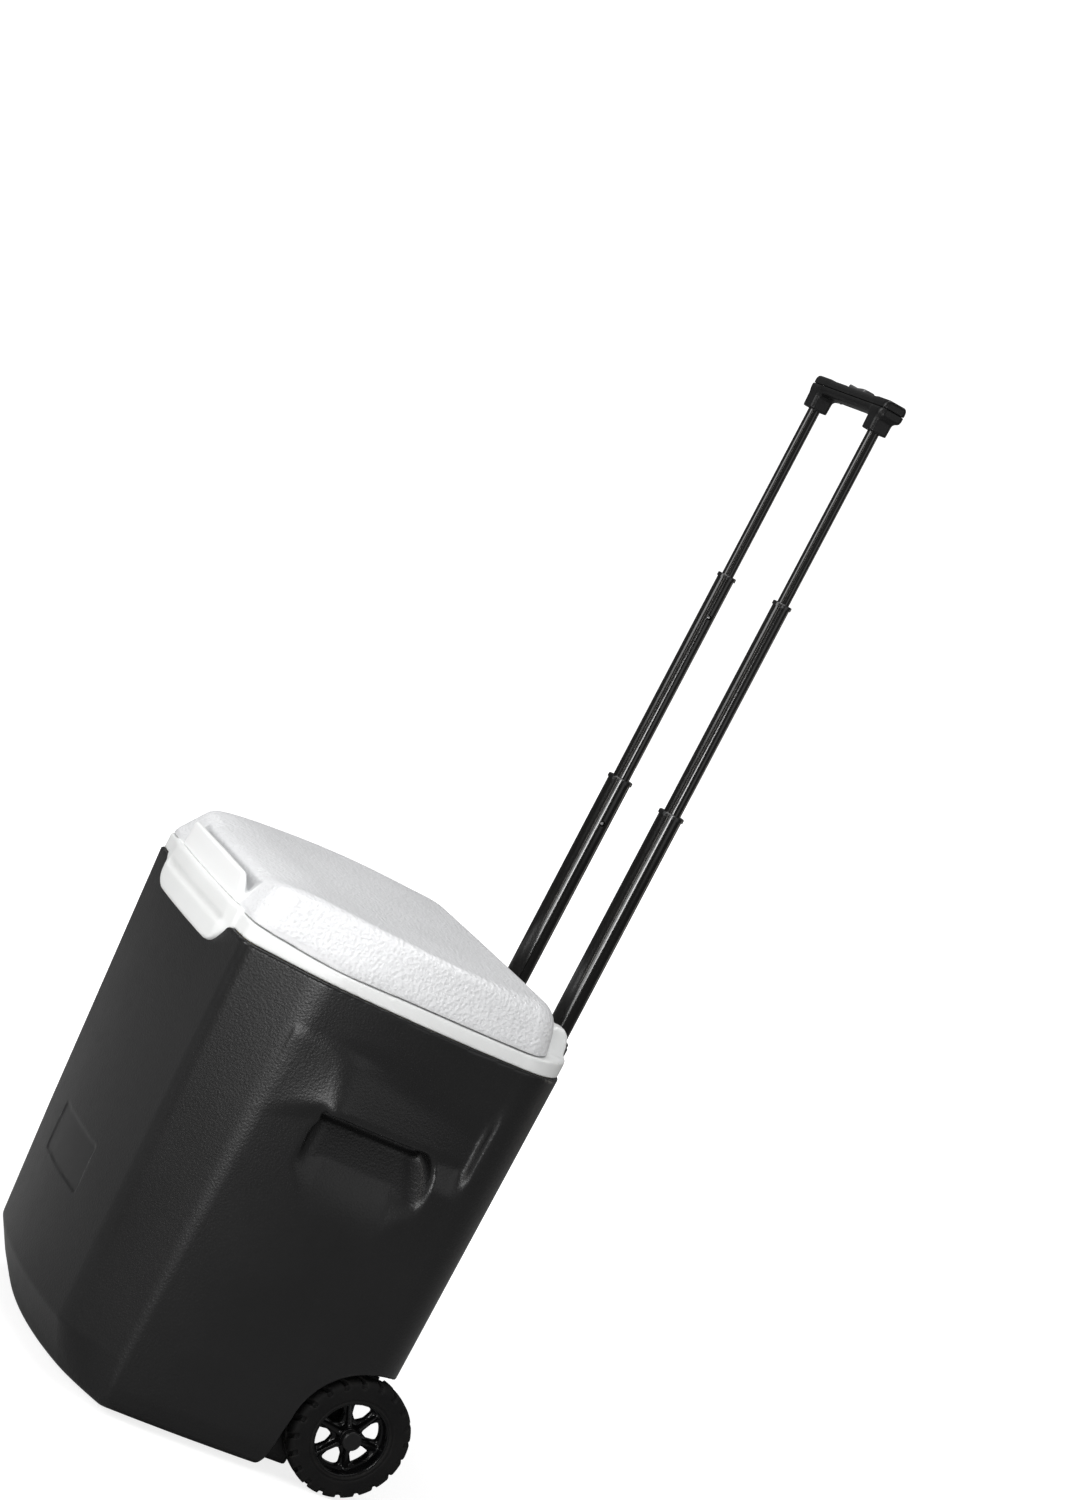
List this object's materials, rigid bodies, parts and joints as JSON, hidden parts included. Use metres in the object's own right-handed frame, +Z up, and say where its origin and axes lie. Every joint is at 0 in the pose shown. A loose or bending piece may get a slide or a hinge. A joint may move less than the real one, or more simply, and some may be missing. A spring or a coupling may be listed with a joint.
{
  "type": "wheeled cooler",
  "caption": "Upright insulated cooler with a tapered dark body, pale hinged lid, moulded side hand pockets, rear wheels on an axle and a telescopic pull handle.",
  "frame": {"origin": "on the ground, under the middle of the whole part's bounding box, with the cooler standing upright on its front feet and wheels and its handle fully drawn out", "axes": "+Z up along the handle tubes, -Y to the front of the cooler with the lid's lifting lip, +Y to the back with the handle and the wheels, +X to the right-hand side seen from the back"},
  "size_m": [0.348, 0.328, 0.9615],
  "materials": {
    "black_shell": "satin",
    "foam": "matte",
    "white_plastic": "satin",
    "lid_white": "satin",
    "steel": "satin",
    "black_fittings": "satin",
    "screws": "satin",
    "black_tube": "gloss",
    "black_collar": "gloss",
    "inner_plastic": "matte",
    "pin_steel": "satin",
    "wheel_plastic": "gloss",
    "tyre": "matte",
    "axle_cap": "satin",
    "washer": "matte",
    "grip_plastic": "satin",
    "button_plastic": "satin",
    "spring_steel": "satin"
  },
  "bodies": {
    "cooler": {"body_shell": "black_shell", "foam_core": "foam", "liner_tub": "white_plastic", "hinge_pins": "steel", "tube_bracket_upper": "black_fittings", "tube_bracket_lower": "black_fittings", "bracket_screws": "screws", "outer_tube_left": "black_tube", "outer_tube_right": "black_tube", "outer_collar_left": "black_collar", "outer_collar_right": "black_collar", "axle": "steel", "axle_caps": "axle_cap", "axle_washers": "washer"},
    "lid": {"lid_shell": "lid_white", "lid_pan": "white_plastic", "lid_foam": "foam"},
    "wheel_left": {"wheel_left": "wheel_plastic", "tyre_left": "tyre"},
    "wheel_right": {"wheel_right": "wheel_plastic", "tyre_right": "tyre"},
    "stage1": {"stage1_tube_left": "black_tube", "stage1_tube_right": "black_tube", "stage1_collar_left": "black_collar", "stage1_collar_right": "black_collar", "stage1_plug_left": "inner_plastic", "stage1_plug_right": "inner_plastic"},
    "stage2": {"stage2_tube_left": "black_tube", "stage2_tube_right": "black_tube", "stage2_collar_left": "black_collar", "stage2_collar_right": "black_collar", "stage2_plug_left": "inner_plastic", "stage2_plug_right": "inner_plastic"},
    "stage3": {"stage3_tube_left": "black_tube", "stage3_tube_right": "black_tube", "stage3_plug_left": "inner_plastic", "stage3_plug_right": "inner_plastic", "grip_lower": "grip_plastic", "grip_upper": "grip_plastic", "grip_screws": "screws", "button_springs": "spring_steel"},
    "release": {"release_button": "button_plastic", "release_bar": "inner_plastic", "release_rod_left": "pin_steel", "release_rod_right": "pin_steel"},
    "lock_pin1_left": {"lock_pin1_left": "pin_steel"},
    "lock_pin1_right": {"lock_pin1_right": "pin_steel"},
    "lock_pin2_left": {"lock_pin2_left": "pin_steel"},
    "lock_pin2_right": {"lock_pin2_right": "pin_steel"},
    "lock_pin3_left": {"lock_pin3_left": "pin_steel"},
    "lock_pin3_right": {"lock_pin3_right": "pin_steel"}
  },
  "joints": [
    {"name": "lid_hinge", "type": "hinge", "parent": "cooler", "child": "lid", "pos_m": [0, 0.115, 0.4], "axis": [-1, 0, 0], "range_deg": [0, 90]},
    {"name": "wheel_left_spin", "type": "hinge", "parent": "cooler", "child": "wheel_left", "pos_m": [-0.142, 0.1075, 0.05], "axis": [-1, 0, 0], "continuous": true},
    {"name": "wheel_right_spin", "type": "hinge", "parent": "cooler", "child": "wheel_right", "pos_m": [0.142, 0.1075, 0.05], "axis": [-1, 0, 0], "continuous": true},
    {"name": "stage1_slide", "type": "slide", "parent": "cooler", "child": "stage1", "axis": [0, 0, 1], "range_m": [-0.1975, 0]},
    {"name": "stage2_slide", "type": "slide", "parent": "stage1", "child": "stage2", "axis": [0, 0, 1], "range_m": [-0.1835, 0]},
    {"name": "stage3_slide", "type": "slide", "parent": "stage2", "child": "stage3", "axis": [0, 0, 1], "range_m": [-0.151, 0]},
    {"name": "release_press", "type": "slide", "parent": "stage3", "child": "release", "axis": [0, 0, -1], "range_m": [0, 0.004], "stiffness_N_per_m": 500, "springref_m": -0.004, "deforming": ["button_springs"]},
    {"name": "lock_pin1_left_slide", "type": "slide", "parent": "stage1", "child": "lock_pin1_left", "axis": [-1, 0, 0], "range_m": [0, 0.0012], "stiffness_N_per_m": 300, "springref_m": -0.001},
    {"name": "lock_pin1_right_slide", "type": "slide", "parent": "stage1", "child": "lock_pin1_right", "axis": [1, 0, 0], "range_m": [0, 0.0012], "stiffness_N_per_m": 300, "springref_m": -0.001},
    {"name": "lock_pin2_left_slide", "type": "slide", "parent": "stage2", "child": "lock_pin2_left", "axis": [-1, 0, 0], "range_m": [0, 0.0012], "stiffness_N_per_m": 300, "springref_m": -0.001},
    {"name": "lock_pin2_right_slide", "type": "slide", "parent": "stage2", "child": "lock_pin2_right", "axis": [1, 0, 0], "range_m": [0, 0.0012], "stiffness_N_per_m": 300, "springref_m": -0.001},
    {"name": "lock_pin3_left_slide", "type": "slide", "parent": "stage3", "child": "lock_pin3_left", "axis": [-1, 0, 0], "range_m": [0, 0.00105]},
    {"name": "lock_pin3_right_slide", "type": "slide", "parent": "stage3", "child": "lock_pin3_right", "axis": [1, 0, 0], "range_m": [0, 0.00105]}
  ],
  "couplings": [
    {"joint": "lock_pin3_left_slide", "follows": "release_press", "ratio": 0.25},
    {"joint": "lock_pin3_right_slide", "follows": "release_press", "ratio": 0.25}
  ]
}
